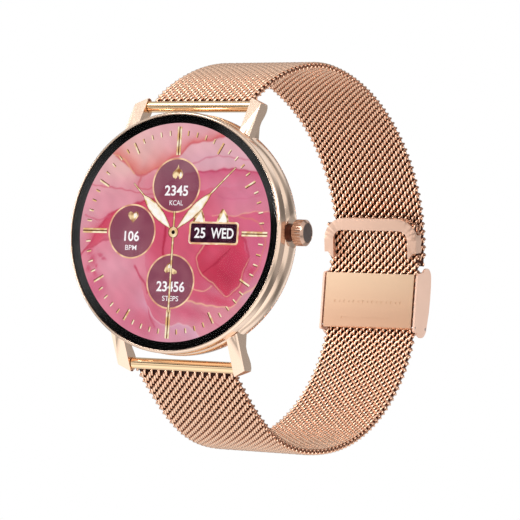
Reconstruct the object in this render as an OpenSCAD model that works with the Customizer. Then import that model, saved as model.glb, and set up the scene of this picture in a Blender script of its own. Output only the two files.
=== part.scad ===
// Round smartwatch on a closed woven-mesh band with a sliding fold-over clasp.
// Millimetres. X points at the crown, Y from the dial to the wrist, Z to twelve o'clock.
// The origin is the middle of the flat wrist face of the case back.

/* [Case] */
// Widest radius of the polished middle case
case_r = 20.5; // [19.6:0.1:24.6]
// From the wrist face to the front of the glass
case_t = 10.7; // [10.0:0.1:12.9]
// Height of the gold bezel ring, front to back
bezel_h = 1.85; // [1.5:0.05:2.6]
// Thickness of the copper accent ring under the bezel
accent_h = 0.35; // [0.2:0.05:0.6]
// Width of the black border round the lit picture
border_w = 1.4; // [1.2:0.05:2.4]
// Thickness of the cover glass
glass_t = 0.8; // [0.6:0.1:1.2]
// Height of the raised middle of the case back
plateau_h = 1.3; // [1.0:0.1:1.8]
// How far the flat wrist face stops inside the widest radius
plateau_in = 7.3; // [6.5:0.1:9.0]

/* [Lugs and bars] */
// Half the clear width between a pair of lugs
lug_half_gap = 10.05; // [8.4:0.05:12.1]
// Width of one lug
lug_w = 2.25; // [1.8:0.05:3.0]
// Clear space between the case and a strap tube
bar_gap = 0.53; // [0.4:0.01:1.2]
// How far the strap bars lie in front of the wrist face
bar_y = 3.45; // [3.0:0.05:4.2]
// Radius of the polished tube on each strap bar
tube_r = 0.97; // [0.8:0.01:1.17]
// Wall thickness of that tube
tube_wall = 0.32; // [0.22:0.01:0.38]

/* [Crown] */
// Radius of the fluted crown
crown_r = 2.2; // [1.8:0.05:2.65]
// Length of the fluted crown
crown_l = 2.05; // [1.7:0.05:2.6]
// Height of the crown above the three o'clock line
crown_z = 0.75; // [0:0.05:1.5]
// Number of flutes round the crown
crown_flutes = 24; // [12:1:30]
// How far the crown can be pressed in
crown_press = 0.4; // [0.2:0.05:0.45]

/* [Band loop] */
// Clear space between an edge of the woven band and the lug beside it
band_side = 0.35; // [0.2:0.05:1.6]
// Thickness of the woven band
band_t = 1.4; // [1.15:0.05:1.7]
// How far the upper side of the loop reaches above the middle
loop_top = 33.1; // [28:0.1:40]
// How far the lower side of the loop reaches below the middle
loop_bottom = 35.5; // [30:0.1:42]
// Where the loop is widest on the upper side, behind the wrist face
loop_top_y = 26.0; // [22:0.1:32]
// Where the loop is widest on the lower side, behind the wrist face
loop_bottom_y = 27.6; // [24:0.1:36]

/* [Clasp] */
// Distance of the clasp's inner plate behind the wrist face
clasp_y = 66.4; // [56:0.1:80]
// Height of the middle of the clasp
clasp_z = -6.0; // [-9:0.1:-3]
// Lean of the clasp, in degrees
clasp_tilt = 1.5; // [0:0.1:4]
// Half the length of the clasp between its cheeks' ends
cheek_half_l = 6.8; // [6.5:0.1:7.6]
// Clear space between an edge of the band and a cheek
cheek_side = 0.1; // [0.05:0.05:0.4]
// Thickness of a cheek
cheek_t = 0.4; // [0.3:0.05:0.9]
// Clear space between an edge of the lock plate and a cheek
plate_side = 0.4; // [0.05:0.05:0.6]
// Length of the hinged lock plate
plate_l = 10.7; // [9.6:0.1:11.4]
// Thickness of the outer cover
cover_t = 0.7; // [0.5:0.05:0.9]
// How far the U-shaped tail tip stands out past the band's edges
tip_lip = 0.15; // [0.1:0.05:0.6]
// Length of the legs of the tail tip
tip_l = 6.6; // [4.5:0.1:8]

/* [Hidden] */
$fn = 64;
e = 0.01;
front_y = -case_t;
lit_y = front_y + glass_t;
ledge_y = lit_y + 0.25;
bezel_y0 = front_y + 0.4;
bezel_y1 = bezel_y0 + bezel_h + 0.4;
mid_y0 = bezel_y1 + accent_h;
mid_y1 = -plateau_h - 1.1;
back_y1 = -plateau_h;
glass_r = case_r - 0.7;
display_r = glass_r - border_w;
bond_t = 0.12;
plateau_r = case_r - plateau_in;
window_r = round(plateau_r * 4.925) / 10;
pad_z = (window_r + plateau_r) / 2;
bezel_r = case_r - 0.15;
display_y1 = lit_y + 0.9;
frame_y1 = display_y1 + 0.6;
board_y1 = frame_y1 + 0.8;
inner_r = case_r - 2.3;
inside_k = inner_r / 18.2;
battery_y0 = board_y1 + 1.3;
bar_z = case_r + tube_r + bar_gap;
bore_r = tube_r - tube_wall;
spring_bar_r = bore_r - 0.03;
bar_tip_r = spring_bar_r - 0.25;
crown_k = crown_r / 2.2;
crown_y = (mid_y0 + mid_y1) / 2 - 0.45;
crown_x0 = case_r + crown_press + 0.05;
crown_x1 = crown_x0 + crown_l;
switch_x = inner_r - 2.75;
tip_dir = -0.18;
band_half_w = lug_half_gap - band_side;
cheek_in = band_half_w + cheek_side;
plate_half_w = cheek_in - plate_side;
tip_half_w = band_half_w + tip_lip;
plate_t = 0.55;
mesh_v = plate_t + 0.5 + band_t / 2;
wall_v = mesh_v + band_t / 2 + 0.35;
hook_v = wall_v + 1.4;
hook_u = cheek_half_l - 3.5;
cover_v = hook_v + 1.35;
cheek_k = cover_v / 5.55;
cover_pin_u = -cheek_half_l + 1.85;
cover_pin_v = cover_v - 0.4;
flap_pin_u = -cheek_half_l + 1.75;
flap_pin_v = 0.5;
flap_pin_r = 0.25;
cover_pin_r = 0.35;

champagne = [0.86, 0.72, 0.56];
rose = [0.84, 0.60, 0.48];
gold = [0.93, 0.74, 0.52];
copper = [0.72, 0.42, 0.28];
black = [0.05, 0.05, 0.06];
grey = [0.45, 0.46, 0.48];

// ---- helpers ----

// a disc or rod along Y
module disc(y0, y1, r, x = 0, z = 0) {
  translate([x, y0, z]) rotate([-90, 0, 0]) cylinder(h = y1 - y0, r = r);
}

// a rod along X
module rod(x0, x1, r, y = 0, z = 0) {
  translate([x0, y, z]) rotate([0, 90, 0]) cylinder(h = x1 - x0, r = r);
}

// a ring along Y between two radii
module ring(y0, y1, r0, r1) {
  difference() {
    disc(y0, y1, r1);
    disc(y0 - 1, y1 + 1, r0);
  }
}

// a turned body about Y from points [radius, y]
module turned(points) {
  rotate([-90, 0, 0]) rotate_extrude() polygon(points);
}

// a block from two corners
module block(a, b) {
  translate(a) cube(b - a);
}

// a side profile of points [y, z] drawn along X
module side(x0, x1, points) {
  translate([x0, 0, 0]) rotate([90, 0, 90]) linear_extrude(x1 - x0) polygon(points);
}

// places a part in the clasp: y runs outward, z runs up along the band
module in_clasp() {
  translate([0, clasp_y, clasp_z]) rotate([-clasp_tilt, 0, 0]) children();
}

// a clasp point in the row's frame, as [y, z]
function clasp_point(u, v) = [
  clasp_y + v * cos(clasp_tilt) + u * sin(clasp_tilt),
  clasp_z - v * sin(clasp_tilt) + u * cos(clasp_tilt)];

// a cubic curve from p to q, leaving along a and arriving along b
function curve_at(p, a, b, q, t) =
  pow(1 - t, 3) * p + 3 * pow(1 - t, 2) * t * (p + a)
  + 3 * (1 - t) * t * t * (q - b) + pow(t, 3) * q;
function curve_dir(p, a, b, q, t) =
  3 * pow(1 - t, 2) * a + 6 * (1 - t) * t * (q - b - p - a) + 3 * t * t * b;
function unit(v) = v / norm(v);
function curve_edge(p, a, b, q, off, n, first = 0) = [
  for (i = [first:n])
    let (t = i / n, d = unit(curve_dir(p, a, b, q, t)))
      curve_at(p, a, b, q, t) + off * [-d[1], d[0]]];
function reversed(list) = [for (i = [len(list) - 1:-1:0]) list[i]];

// ---- band centre lines, as [y, z] ----

up_start = [-bar_y, bar_z + tube_r - band_t / 2];
up_wide = [loop_top_y, loop_top];
up_end = clasp_point(cheek_half_l - 0.8, hook_v);
up_a = 9.2 * [sin(50), cos(50)];
up_b = [9.9, 0];
up_c = [0.53 * (up_end[0] - up_wide[0]), 0];
up_d = 0.575 * (up_wide[1] - up_end[1]) * unit([-0.03, -1]);

low_start = [-bar_y, -bar_z - tube_r + band_t / 2];
low_wide = [loop_bottom_y, -loop_bottom];
low_in = clasp_point(-cheek_half_l + 0.2, mesh_v);
low_out = clasp_point(cheek_half_l - 0.3, mesh_v);
low_end = low_out + [-2.2, 8.6];
low_a = 13 * [cos(38), -sin(38)];
low_b = [0.461 * (low_wide[0] - low_start[0]), 0];
low_c = [0.66 * (low_in[0] - low_wide[0]), 0];
low_d = 8 * [sin(clasp_tilt + 9), cos(clasp_tilt + 9)];
low_dir = [sin(clasp_tilt), cos(clasp_tilt)];

module upper_profile(t) {
  h = t / 2;
  polygon(concat(
    curve_edge(up_start, up_a, up_b, up_wide, h, 14),
    curve_edge(up_wide, up_c, up_d, up_end, h, 26, 1),
    reversed(concat(
      curve_edge(up_start, up_a, up_b, up_wide, -h, 14),
      curve_edge(up_wide, up_c, up_d, up_end, -h, 26, 1)))));
}

module lower_profile(t) {
  h = t / 2;
  polygon(concat(
    curve_edge(low_start, low_a, low_b, low_wide, h, 14),
    curve_edge(low_wide, low_c, low_d, low_in, h, 22, 1),
    curve_edge(low_out, 3 * low_dir, 3 * [tip_dir, 1], low_end, h, 6),
    reversed(concat(
      curve_edge(low_start, low_a, low_b, low_wide, -h, 14),
      curve_edge(low_wide, low_c, low_d, low_in, -h, 22, 1),
      curve_edge(low_out, 3 * low_dir, 3 * [tip_dir, 1], low_end, -h, 6)))));
}

// places a part at the end of the tail: y outward, z along the tail
module at_tail() {
  translate([0, low_end[0], low_end[1]]) rotate([atan(-tip_dir), 0, 0]) children();
}

// ---- glass and display ----

module cover_glass() color([0.9, 0.95, 1.0, 0.3])
  turned([[0, front_y], [glass_r - 0.75, front_y], [glass_r - 0.25, front_y + 0.1],
    [glass_r - 0.05, front_y + 0.32], [glass_r, lit_y], [0, lit_y]]);

module glass_border() color(black)
  ring(lit_y, lit_y + 0.05, display_r, glass_r - 0.05);

module glass_seal() color(black)
  ring(lit_y + 0.05, ledge_y, glass_r - 0.95, glass_r - 0.1);

module display_panel() color([0.82, 0.35, 0.45])
  disc(lit_y + bond_t, display_y1, display_r - 0.02);

module display_flex() color([0.55, 0.33, 0.12]) {
  block([-3, display_y1, -inner_r + 3.0], [3, board_y1 + 0.15, -inner_r + 3.2]);
  block([-3, board_y1, -inner_r + 3.0], [3, board_y1 + 0.15, -inner_r + 5.8]);
}

// ---- case ----

module bezel_ring() color(champagne)
  turned([[glass_r + 0.02, bezel_y0], [glass_r + 0.22, bezel_y0],
    [bezel_r - 0.12, bezel_y0 + 0.22], [bezel_r, bezel_y0 + 0.5], [bezel_r, bezel_y1 - 0.15],
    [bezel_r - 0.15, bezel_y1], [glass_r - 1.05, bezel_y1], [glass_r - 1.05, ledge_y],
    [glass_r + 0.02, ledge_y]]);

module accent_ring() color(copper)
  ring(bezel_y1, mid_y0, inner_r, case_r - 0.55);

module mid_turned() {
  h = mid_y1 - mid_y0;
  turned([[inner_r, mid_y0], [case_r - 0.4, mid_y0], [case_r - 0.15, mid_y0 + 0.1 * h],
    [case_r - 0.03, mid_y0 + 0.22 * h], [case_r, mid_y0 + 0.38 * h],
    [case_r - 0.05, mid_y0 + 0.52 * h], [case_r - 0.18, mid_y0 + 0.64 * h],
    [case_r - 0.42, mid_y0 + 0.76 * h], [case_r - 0.8, mid_y0 + 0.87 * h],
    [case_r - 1.15, mid_y0 + 0.94 * h], [case_r - 1.5, mid_y1], [inner_r, mid_y1]]);
}

// one lug, drawn at upper right
module lug() {
  tip = bar_z + 1.45;
  difference() {
    side(lug_half_gap, lug_half_gap + lug_w, [
      [-bar_y - 4.55, bar_z - 5.6], [-bar_y - 0.55, tip], [-bar_y + 0.1, tip + 0.02],
      [-bar_y + 0.72, tip - 0.4], [-bar_y + 1.15, tip - 0.95], [-bar_y + 1.22, tip - 1.6],
      [-bar_y + 0.95, tip - 2.35], [-bar_y + 0.3, tip - 3.2], [-bar_y - 0.55, tip - 4.1],
      [-bar_y - 1.1, tip - 5.1], [-bar_y - 1.2, bar_z - 6.4], [-bar_y - 3.9, bar_z - 6.4]]);
    translate([lug_half_gap, -20, tip + 0.05]) rotate([0, 26, 0])
      cube([8, 30, 5]);
    rod(lug_half_gap - 1, lug_half_gap + 1.15, bar_tip_r + 0.03, -bar_y, bar_z);
    disc(-30, mid_y0, case_r - 0.1);
  }
}

module lug_blank() {
  side(lug_half_gap, lug_half_gap + lug_w, [
    [-bar_y - 4.0, bar_z - 6.2], [-bar_y - 1.2, bar_z - 6.2],
    [-bar_y - 1.2, bar_z - 8.4], [-bar_y - 4.0, bar_z - 8.4]]);
}

boss_a = [45, 135, 225, 315];

module mid_case() color(champagne) difference() {
  union() {
    mid_turned();
    for (m = [0, 1], n = [0, 1]) mirror([m, 0, 0]) mirror([0, 0, n]) lug();
    for (m = [0, 1], n = [0, 1]) mirror([m, 0, 0]) mirror([0, 0, n])
      intersection() {
        lug_blank();
        disc(mid_y0, mid_y1, case_r - 0.6);
      }
    for (a = boss_a) disc(mid_y1 - 3, mid_y1, 1.2,
      (inner_r - 0.85) * cos(a), (inner_r - 0.85) * sin(a));
  }
  difference() {
    disc(-20, mid_y1 + 1, inner_r);
    for (a = boss_a) disc(mid_y1 - 3, mid_y1 + 2, 1.2,
      (inner_r - 0.85) * cos(a), (inner_r - 0.85) * sin(a));
  }
  for (a = boss_a) disc(mid_y1 - 2.6, mid_y1 + 1, 0.5,
    (inner_r - 0.85) * cos(a), (inner_r - 0.85) * sin(a));
  ring(mid_y1 - 0.3, mid_y1 + 1, inner_r + 0.2, inner_r + 0.5);
  rod(inner_r - 2, case_r + 2, 1.45 * crown_k, crown_y, crown_z);
  rod(case_r - 0.45, case_r + 2, crown_r + 0.35, crown_y, crown_z);
}

module case_back() color([0.30, 0.29, 0.30]) difference() {
  turned([[0, mid_y1], [case_r - 1.6, mid_y1], [case_r - 1.75, mid_y1 + 0.45],
    [case_r - 2.6, back_y1], [plateau_r + 0.7, back_y1], [plateau_r, 0], [0, 0]]);
  disc(-10, 1, window_r);
  disc(mid_y1 - 1, mid_y1 + 0.3, plateau_r - 0.8);
  for (a = boss_a) {
    disc(-10, 1, 0.55, (inner_r - 0.85) * cos(a), (inner_r - 0.85) * sin(a));
    disc(back_y1 - 0.65, 1, 1.0, (inner_r - 0.85) * cos(a), (inner_r - 0.85) * sin(a));
  }
  for (s = [-1, 1]) disc(-10, 1, 1.3, s * 2.6, -pad_z);
}

module back_gasket() color(black)
  ring(mid_y1 - 0.3, mid_y1, inner_r + 0.22, inner_r + 0.48);

module back_screws() color(grey)
  for (a = boss_a) difference() {
    union() {
      disc(back_y1 - 0.65, back_y1 - 0.05, 0.92,
        (inner_r - 0.85) * cos(a), (inner_r - 0.85) * sin(a));
      disc(mid_y1 - 2.4, back_y1 - 0.6, 0.48,
        (inner_r - 0.85) * cos(a), (inner_r - 0.85) * sin(a));
    }
    translate([(inner_r - 0.85) * cos(a), back_y1 - 0.25, (inner_r - 0.85) * sin(a)])
      rotate([-90, 0, 0]) cylinder(h = 1, r = 0.4, $fn = 6);
  }

module sensor_window() color([0.08, 0.10, 0.12])
  disc(-0.95, 0, window_r - 0.02);

module sensor_module() color([0.10, 0.35, 0.20]) {
  disc(mid_y1 - 0.6, mid_y1 + 0.3, window_r + 1.1);
  disc(mid_y1 + 0.3, -1.35, window_r - 0.5);
  for (a = [0:90:270])
    disc(-1.35, -0.95, 0.9, 0.55 * window_r * cos(a), 0.55 * window_r * sin(a));
  disc(-1.35, -0.95, 1.3);
}

module charging_pads() color(gold)
  for (s = [-1, 1]) disc(mid_y1 + 0.3, -0.04, 1.28, s * 2.6, -pad_z);

// ---- inside the case ----

module inner_frame() color([0.16, 0.16, 0.18]) difference() {
  union() {
    disc(display_y1, frame_y1, glass_r - 1.1);
    ring(frame_y1 - e, bezel_y1, inner_r - 0.2, glass_r - 1.1);
    ring(frame_y1 - e, mid_y1 - 3.3, inner_r - 1.0, inner_r - 0.2);
  }
  block([-3.6, -30, -inner_r + 2.5], [3.6, frame_y1 + 0.1, -inner_r + 3.6]);
  rod(0, case_r, 1.45 * crown_k + 0.3, crown_y, crown_z);
}

module main_board() color([0.07, 0.30, 0.18]) difference() {
  disc(frame_y1, board_y1, inner_r - 1.2);
  block([-3.6, -30, -inner_r], [3.6, 0, -inner_r + 3.3]);
}

module board_chips() color([0.12, 0.12, 0.13]) {
  k = inside_k;
  block([-4.5 * k, board_y1, 2 * k], [4.5 * k, board_y1 + 0.9, 10 * k]);
  block([6.0 * k, board_y1, -4 * k], [10.5 * k, board_y1 + 0.8, 1.5 * k]);
  block([-11 * k, board_y1, -3 * k], [-6.5 * k, board_y1 + 0.7, 2.5 * k]);
  block([-4 * k, board_y1, -5 * k], [3 * k, board_y1 + 0.8, -0.5 * k]);
}

module battery() color([0.62, 0.64, 0.68])
  block([-10 * inside_k, battery_y0, -6.3 * inside_k],
    [10 * inside_k, mid_y1 - 0.6, 13.0 * inside_k]);

module vibration_motor() color(grey)
  disc(mid_y1 - 2.8, mid_y1, 3.0 * inside_k, 0, -11.6 * inside_k);

// ---- crown ----

module crown_cap() color(champagne) difference() {
  translate([0, crown_y, crown_z]) rotate([0, 90, 0]) rotate_extrude()
    polygon([[0, crown_x0], [crown_r - 0.15, crown_x0], [crown_r, crown_x0 + 0.15],
      [crown_r, crown_x1 - 0.38], [crown_r - 0.2, crown_x1 - 0.22],
      [crown_r - 0.45, crown_x1], [0, crown_x1]]);
  rod(crown_x0 - 1, crown_x0 + 0.75, 1.55 * crown_k, crown_y, crown_z);
  rod(crown_x0, crown_x1 + 1, 0.64 * crown_k, crown_y, crown_z);
  rod(crown_x0 + 1.1, crown_x1 + 1, 1.05 * crown_k, crown_y, crown_z);
  rod(crown_x1 - 0.35, crown_x1 + 1, 1.6 * crown_k, crown_y, crown_z);
  translate([0, crown_y, crown_z]) for (i = [0:crown_flutes - 1])
    rotate([i * 360 / crown_flutes, 0, 0]) rod(crown_x0 - 1, crown_x1 - 0.4, 0.17,
      0, crown_r + 0.04);
}

module crown_end_disc() color([0.22, 0.17, 0.16])
  rod(crown_x1 - 0.35, crown_x1 - 0.04, 1.58 * crown_k, crown_y, crown_z);

module crown_stem() color(grey) {
  rod(switch_x + 0.05 + crown_press, crown_x0 + 1.2, 0.6 * crown_k, crown_y, crown_z);
  rod(crown_x0 + 1.12, crown_x1 - 0.38, 1.0 * crown_k, crown_y, crown_z);
}

module crown_tube() color(copper) difference() {
  rod(inner_r - 1.0, crown_x0 + 0.3, 1.45 * crown_k, crown_y, crown_z);
  rod(0, crown_x1, 0.64 * crown_k, crown_y, crown_z);
  rod(inner_r, inner_r + 0.5, 1.07 * crown_k, crown_y, crown_z);
}

module crown_o_ring() color(black)
  translate([inner_r + 0.25, crown_y, crown_z]) rotate([0, 90, 0])
    rotate_extrude() translate([0.85 * crown_k, 0]) circle(r = 0.21 * crown_k, $fn = 32);

module crown_switch() color([0.75, 0.75, 0.72]) {
  block([switch_x - 1.4, board_y1, crown_z - 1.6],
    [switch_x - 0.4, crown_y + 1.2, crown_z + 1.6]);
  rod(switch_x - 0.4, switch_x, 0.5, crown_y, crown_z);
}

// ---- bars and tubes ----

module bar_at(z) {
  body = lug_half_gap - 0.85;
  rod(-body, body, spring_bar_r, -bar_y, z);
  for (s = [-1, 1]) rod(s > 0 ? body : -lug_half_gap - 0.95,
    s > 0 ? lug_half_gap + 0.95 : -body, bar_tip_r, -bar_y, z);
}

module tube_at(z) difference() {
  rod(-lug_half_gap + 0.1, lug_half_gap - 0.1, tube_r, -bar_y, z);
  rod(-20, 20, bore_r, -bar_y, z);
}

module spring_bar_top() color(grey) bar_at(bar_z);
module spring_bar_bottom() color(grey) bar_at(-bar_z);
module strap_tube_top() color(gold) tube_at(bar_z);
module strap_tube_bottom() color(gold) tube_at(-bar_z);

// ---- woven band ----

module upper_mesh() color(rose) difference() {
  translate([-band_half_w, 0, 0]) rotate([90, 0, 90])
    linear_extrude(2 * band_half_w) upper_profile(band_t);
  rod(-20, 20, tube_r, -bar_y, bar_z);
}

module lower_mesh() color(rose) difference() {
  translate([-band_half_w, 0, 0]) rotate([90, 0, 90])
    linear_extrude(2 * band_half_w) lower_profile(band_t);
  rod(-20, 20, tube_r, -bar_y, -bar_z);
  at_tail() block([-20, -2, 0], [20, 2, 3]);
}

// the room the band takes inside a piece that is clamped round it
module lower_room(gap) {
  translate([-band_half_w - gap, 0, 0]) rotate([90, 0, 90])
    linear_extrude(2 * (band_half_w + gap)) lower_profile(band_t + 2 * gap);
}

// U-shaped metal frame round the end of the tail
module tip_outline(w, top, r, bottom) {
  translate([w - r, top - r]) circle(r = r);
  translate([-w + r, top - r]) circle(r = r);
  translate([-w + r, top - 2 * r]) square([2 * (w - r), 2 * r]);
  translate([-w, bottom]) square([2 * w, top - r - bottom]);
}

module tail_tip() color(rose) difference() {
  at_tail() translate([0, band_t / 2 + 0.32, 0]) rotate([90, 0, 0])
    linear_extrude(band_t + 0.87) difference() {
      tip_outline(tip_half_w, 0.8, 4.2, -tip_l + 0.8);
      tip_outline(tip_half_w - 1.9, -1.5, 1.9, -tip_l - 2);
    }
  difference() {
    lower_room(0.02);
    at_tail() block([-20, -3, 0.02], [20, 3, 4]);
  }
}

// ---- end of the short band ----

module strap_tongue() color(rose) in_clasp() {
  block([-band_half_w + 0.5, hook_v - 0.25, hook_u],
    [band_half_w - 0.5, hook_v + 0.25, cheek_half_l - 0.82]);
}

module latch_bar() color(gold) in_clasp() difference() {
  w = band_half_w - 0.3;
  rod(-w, w, 0.75, hook_v, hook_u - 0.1);
  block([-w + 0.18, hook_v - 0.25, hook_u], [w - 0.18, hook_v + 0.25, hook_u + 2]);
}

// ---- clasp ----

// side outline of a cheek, as [outward, up]
module cheek_outline() {
  l = cheek_half_l;
  difference() {
    union() {
      translate([4.3 * cheek_k, l - 1.95]) circle(r = 1.95);
      translate([3.3 * cheek_k, -l + 2.4]) circle(r = 2.4);
      polygon([for (p = [[0.0, -l + 1.15], [0.0, l - 2.0], [0.35, l - 1.55], [2.6, l - 1.0],
        [4.3, l - 1.0], [6.25, l - 1.95], [6.42, l - 3.4], [6.42, 1.2], [6.25, -1.6],
        [5.7, -l + 2.4], [3.3, -l + 2.0], [1.5, -l + 0.8], [0.25, -l + 0.82]])
          [p[0] * cheek_k, p[1]]]);
    }
  }
}

module clasp_base() color(rose) in_clasp() difference() {
  union() {
    for (x = [-cheek_in - cheek_t, cheek_in])
      translate([x, 0, 0]) rotate([90, 0, 90]) linear_extrude(cheek_t) cheek_outline();
    block([-cheek_in - e, wall_v, -cheek_half_l + 1.3],
      [cheek_in + e, wall_v + 0.45, cheek_half_l - 1.3]);
    for (u = [-cheek_half_l + 1.3, cheek_half_l - 1.8])
      block([-cheek_in - e, wall_v, u], [cheek_in + e, wall_v + 0.6, u + 0.5]);
  }
  rod(-20, 20, flap_pin_r, flap_pin_v, flap_pin_u);
  rod(-20, 20, cover_pin_r, cover_pin_v, cover_pin_u);
}

module lock_plate_pin() color(grey) in_clasp()
  rod(-cheek_in - cheek_t + 0.05, cheek_in + cheek_t - 0.05, flap_pin_r, flap_pin_v,
    flap_pin_u);

module clasp_lock_plate() color(rose) in_clasp() difference() {
  union() {
    block([-plate_half_w, 0, flap_pin_u],
      [plate_half_w, plate_t, flap_pin_u - 0.5 + plate_l]);
    rod(-plate_half_w, plate_half_w, 0.5, flap_pin_v, flap_pin_u);
    block([-0.64 * plate_half_w, plate_t - e, 2.2], [0.64 * plate_half_w, plate_t + 0.3, 2.6]);
  }
  rod(-20, 20, flap_pin_r + 0.03, flap_pin_v, flap_pin_u);
  // a shallow line near the hinge and a row of small dimples instead of lettering
  k = plate_half_w / 9.4;
  block([-5.6 * k, -0.1, flap_pin_u + 1.3], [4.8 * k, 0.08, flap_pin_u + 1.6]);
  for (i = [0:14]) translate([(i - 7) * k, 0.08, flap_pin_u + 4.6]) rotate([90, 0, 0])
    cylinder(h = 1, r = i % 2 == 0 ? 0.3 : 0.18);
}

module clasp_cover_pin() color(grey) in_clasp()
  rod(-cheek_in - cheek_t + 0.05, cheek_in + cheek_t - 0.05, cover_pin_r, cover_pin_v,
    cover_pin_u);

module clasp_cover() color(rose) in_clasp() {
  w = cheek_in - 0.08;
  top = cheek_half_l - 0.9;
  difference() {
    union() {
      side(-w, w, [[cover_v, cover_pin_u], [cover_v, top - 0.25], [cover_v + 0.2, top],
        [cover_v + cover_t - 0.25, top], [cover_v + cover_t, top - 0.5],
        [cover_v + cover_t, 0], [cover_v + cover_t - 0.05, cover_pin_u]]);
      rod(-w, w, 1.0, cover_pin_v, cover_pin_u);
      block([-band_half_w + 0.8, hook_v + 0.42, hook_u + 1.4],
        [band_half_w - 0.8, cover_v + e, hook_u + 2.1]);
    }
    rod(-20, 20, cover_pin_r + 0.04, cover_pin_v, cover_pin_u);
    block([-2.5, cover_v + cover_t - 0.2, top - 0.45], [2.5, 9, top + 1]);
  }
}

// ---- which nodes are drawn ----

cover_glass();
glass_border();
display_panel();
glass_seal();
bezel_ring();
accent_ring();
mid_case();
case_back();
back_gasket();
back_screws();
sensor_window();
sensor_module();
charging_pads();
inner_frame();
main_board();
board_chips();
display_flex();
battery();
vibration_motor();
crown_cap();
crown_end_disc();
crown_stem();
crown_tube();
crown_o_ring();
crown_switch();
spring_bar_top();
spring_bar_bottom();
strap_tube_top();
strap_tube_bottom();
upper_mesh();
lower_mesh();
tail_tip();
strap_tongue();
latch_bar();
clasp_base();
clasp_lock_plate();
lock_plate_pin();
clasp_cover();
clasp_cover_pin();
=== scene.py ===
# %% [markdown]
# # A round smartwatch on a woven metal band
#
# The watch has a round glass front in a champagne-gold case, a fluted crown and
# a band woven from coiled wire that closes with a sliding fold-over clasp.
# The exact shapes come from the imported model. This lesson gives them their
# finishes, weaves the band wire by wire and paints the lit face behind the glass.

import math

import bpy
import numpy as np
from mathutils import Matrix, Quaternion, Vector


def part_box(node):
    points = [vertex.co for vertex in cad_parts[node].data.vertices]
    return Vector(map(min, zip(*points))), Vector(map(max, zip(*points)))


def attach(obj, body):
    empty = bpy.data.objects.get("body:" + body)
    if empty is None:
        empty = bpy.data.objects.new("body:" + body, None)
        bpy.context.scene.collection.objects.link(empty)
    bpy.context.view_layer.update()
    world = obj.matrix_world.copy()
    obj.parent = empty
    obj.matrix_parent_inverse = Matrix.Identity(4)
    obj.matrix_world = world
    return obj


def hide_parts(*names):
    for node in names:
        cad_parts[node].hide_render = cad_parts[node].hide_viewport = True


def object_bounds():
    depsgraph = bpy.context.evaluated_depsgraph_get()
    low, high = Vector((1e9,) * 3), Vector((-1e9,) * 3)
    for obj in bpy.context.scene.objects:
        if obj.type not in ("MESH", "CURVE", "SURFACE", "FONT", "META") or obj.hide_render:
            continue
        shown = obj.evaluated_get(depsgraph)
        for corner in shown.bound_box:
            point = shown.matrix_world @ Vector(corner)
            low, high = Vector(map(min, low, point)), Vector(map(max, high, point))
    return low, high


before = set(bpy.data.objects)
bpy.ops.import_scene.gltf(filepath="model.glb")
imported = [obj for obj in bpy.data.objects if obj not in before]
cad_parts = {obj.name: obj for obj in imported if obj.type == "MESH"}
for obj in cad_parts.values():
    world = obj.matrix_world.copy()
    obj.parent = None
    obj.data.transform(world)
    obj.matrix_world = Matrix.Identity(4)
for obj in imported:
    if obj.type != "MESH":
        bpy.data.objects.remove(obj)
cad_low, cad_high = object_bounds()
MM = 0.001
print("nodes:", len(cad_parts), "box in mm:", [round(v / MM, 1) for v in cad_high - cad_low])

# %% [markdown]
# ## Camera
#
# A long lens a little less than half a metre away keeps the dial's circle from
# bulging. It stands thirty degrees round towards the crown, slightly below the
# middle, and leans three and a half degrees.

# %% camera
EYE = Vector((0.2108, -0.3701, -0.0294))
AIM = Vector((0.00728, 0.00774, -0.00300))
LEAN = math.radians(3.56)
camera_data = bpy.data.cameras.new("studio_camera")
camera_data.lens = 173.2
camera_data.sensor_width = 36
camera_data.clip_start = 0.01
camera_data.clip_end = 20
camera = bpy.data.objects.new("studio_camera", camera_data)
bpy.context.scene.collection.objects.link(camera)
camera.rotation_mode = "QUATERNION"
camera.location = EYE
camera.rotation_quaternion = (AIM - EYE).to_track_quat("-Z", "Y") @ Quaternion((0, 0, 1), LEAN)
bpy.context.scene.camera = camera
print("camera stands", round((AIM - EYE).length, 3), "m from its aim")

# %% [markdown]
# ## Shader maths as plain expressions
#
# A material is a small graph of nodes. One class wraps a socket so that
# `a * 2 + b` adds the Math nodes by itself, and one method makes every other
# node from its type, its settings and the values of its sockets.

# %% shader helpers
class Strand:
    """One output socket of a material, with arithmetic."""

    def __init__(self, finish, socket):
        self.finish, self.socket = finish, socket

    def _math(self, operation, *values):
        return self.finish.node("Math", {"operation": operation}, dict(enumerate(values)))

    def __add__(self, other):
        return self._math("ADD", self, other)

    __radd__ = __add__

    def __sub__(self, other):
        return self._math("SUBTRACT", self, other)

    def __rsub__(self, other):
        return self._math("SUBTRACT", other, self)

    def __mul__(self, other):
        return self._math("MULTIPLY", self, other)

    __rmul__ = __mul__

    def angle_of(self, other):
        """The angle of the point (other, self) round the origin."""
        return self._math("ARCTAN2", self, other)

    def size(self):
        return self._math("ABSOLUTE", self)

    def step(self, low, high):
        """0 below low, 1 above high, smooth between."""
        return self.finish.node(
            "MapRange", {"interpolation_type": "SMOOTHSTEP"},
            {"Value": self, "From Min": low, "From Max": high})

    def band(self, middle, half, soft):
        """1 within half of the middle, 0 beyond soft past that."""
        return 1.0 - (self - middle).size().step(half, half + soft)


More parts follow.
